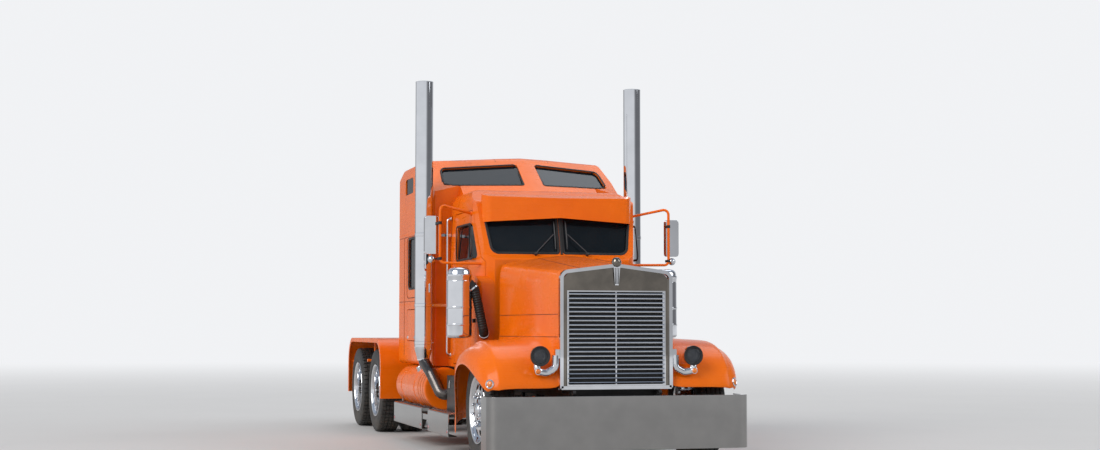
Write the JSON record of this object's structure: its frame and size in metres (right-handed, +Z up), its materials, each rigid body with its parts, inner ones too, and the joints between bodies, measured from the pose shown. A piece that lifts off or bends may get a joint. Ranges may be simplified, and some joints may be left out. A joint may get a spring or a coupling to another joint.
{
  "type": "semi truck tractor unit",
  "caption": "Long-nosed conventional semi truck tractor unit with walk-in sleeper, tall exhaust stacks, tilting hood, steered front wheels and a fifth wheel.",
  "frame": {"origin": "on the ground, on the centre plane, midway between the bumper's front face and the light panel's rear face", "axes": "+Z up, -Y forward, +X toward the driver's side (the vehicle's left)"},
  "size_m": [2.714, 8.347, 3.8949],
  "materials": {
    "orange_paint": "high gloss",
    "frame_paint": "satin",
    "polished": "mirror polish",
    "wheel_alloy": "polished",
    "glass": "tinted",
    "rubber": "matt",
    "tyre": "matt",
    "iron": "matt",
    "dark_plastic": "grained",
    "cloth": "woven"
  },
  "bodies": {
    "chassis": {"frame_rails": "frame_paint", "front_bumper": "polished", "radiator": "frame_paint", "engine_block": "iron", "cab_body": "orange_paint", "sleeper_body": "orange_paint", "windows": "glass", "sun_visor": "orange_paint", "exhaust_stacks": "polished", "air_cleaners": "polished", "intake_pipes": "rubber", "fuel_tanks": "orange_paint", "running_boards": "polished", "battery_boxes": "frame_paint", "rear_fenders": "orange_paint", "front_axle": "iron", "drive_axles": "iron", "dashboard": "dark_plastic", "seats_and_bunk": "cloth"},
    "hood": {"hood": "orange_paint", "grille": "polished", "headlights": "polished"},
    "door_left": {"door_left": "orange_paint", "door_glass_left": "glass", "mirror_left": "polished"},
    "door_right": {"door_right": "orange_paint", "door_glass_right": "glass", "mirror_right": "polished"},
    "baggage_door_left": {"baggage_door_left": "orange_paint"},
    "baggage_door_right": {"baggage_door_right": "orange_paint"},
    "fifth_wheel": {"fifth_wheel": "iron"},
    "knuckle_left": {"knuckle_left": "iron"},
    "knuckle_right": {"knuckle_right": "iron"},
    "front_wheel_left": {"front_wheel_left": "wheel_alloy", "front_tyre_left": "tyre"},
    "front_wheel_right": {"front_wheel_right": "wheel_alloy", "front_tyre_right": "tyre"},
    "drive_wheel_front_left": {"drive_wheels_front_left": "wheel_alloy", "drive_tyres_front_left": "tyre"},
    "drive_wheel_front_right": {"drive_wheels_front_right": "wheel_alloy", "drive_tyres_front_right": "tyre"},
    "drive_wheel_rear_left": {"drive_wheels_rear_left": "wheel_alloy", "drive_tyres_rear_left": "tyre"},
    "drive_wheel_rear_right": {"drive_wheels_rear_right": "wheel_alloy", "drive_tyres_rear_right": "tyre"}
  },
  "joints": [
    {"name": "hood_tilt", "type": "hinge", "parent": "chassis", "child": "hood", "pos_m": [0, -4.0185, 0.672], "axis": [1, 0, 0], "range_deg": [0, 60]},
    {"name": "door_left", "type": "hinge", "parent": "chassis", "child": "door_left", "pos_m": [0.88, -2.124, 1.4], "axis": [0, 0, -1], "range_deg": [0, 65]},
    {"name": "baggage_door_left", "type": "hinge", "parent": "chassis", "child": "baggage_door_left", "pos_m": [1.062, 0.3465, 1.4675], "axis": [0, -1, 0], "range_deg": [0, 90]},
    {"name": "steer_left", "type": "hinge", "parent": "chassis", "child": "knuckle_left", "pos_m": [0.93, -3.3185, 0.5], "axis": [0, 0, 1], "range_deg": [-30, 30]},
    {"name": "front_wheel_left_spin", "type": "hinge", "parent": "knuckle_left", "child": "front_wheel_left", "pos_m": [1.014, -3.3185, 0.5], "axis": [1, 0, 0], "continuous": true},
    {"name": "drive_wheel_front_left_spin", "type": "hinge", "parent": "chassis", "child": "drive_wheel_front_left", "pos_m": [0.924, 1.8815, 0.5], "axis": [1, 0, 0], "continuous": true},
    {"name": "drive_wheel_rear_left_spin", "type": "hinge", "parent": "chassis", "child": "drive_wheel_rear_left", "pos_m": [0.924, 3.2315, 0.5], "axis": [1, 0, 0], "continuous": true},
    {"name": "door_right", "type": "hinge", "parent": "chassis", "child": "door_right", "pos_m": [-0.88, -2.124, 1.4], "axis": [0, 0, 1], "range_deg": [0, 65]},
    {"name": "baggage_door_right", "type": "hinge", "parent": "chassis", "child": "baggage_door_right", "pos_m": [-1.062, 0.3465, 1.4675], "axis": [0, 1, 0], "range_deg": [0, 90]},
    {"name": "steer_right", "type": "hinge", "parent": "chassis", "child": "knuckle_right", "pos_m": [-0.93, -3.3185, 0.5], "axis": [0, 0, 1], "range_deg": [-30, 30]},
    {"name": "front_wheel_right_spin", "type": "hinge", "parent": "knuckle_right", "child": "front_wheel_right", "pos_m": [-1.014, -3.3185, 0.5], "axis": [1, 0, 0], "continuous": true},
    {"name": "drive_wheel_front_right_spin", "type": "hinge", "parent": "chassis", "child": "drive_wheel_front_right", "pos_m": [-0.924, 1.8815, 0.5], "axis": [1, 0, 0], "continuous": true},
    {"name": "drive_wheel_rear_right_spin", "type": "hinge", "parent": "chassis", "child": "drive_wheel_rear_right", "pos_m": [-0.924, 3.2315, 0.5], "axis": [1, 0, 0], "continuous": true},
    {"name": "fifth_wheel_tilt", "type": "hinge", "parent": "chassis", "child": "fifth_wheel", "pos_m": [0, 2.4815, 1.01], "axis": [1, 0, 0], "range_deg": [-12, 12]}
  ],
  "couplings": [
    {"joint": "steer_right", "follows": "steer_left", "ratio": 1}
  ]
}
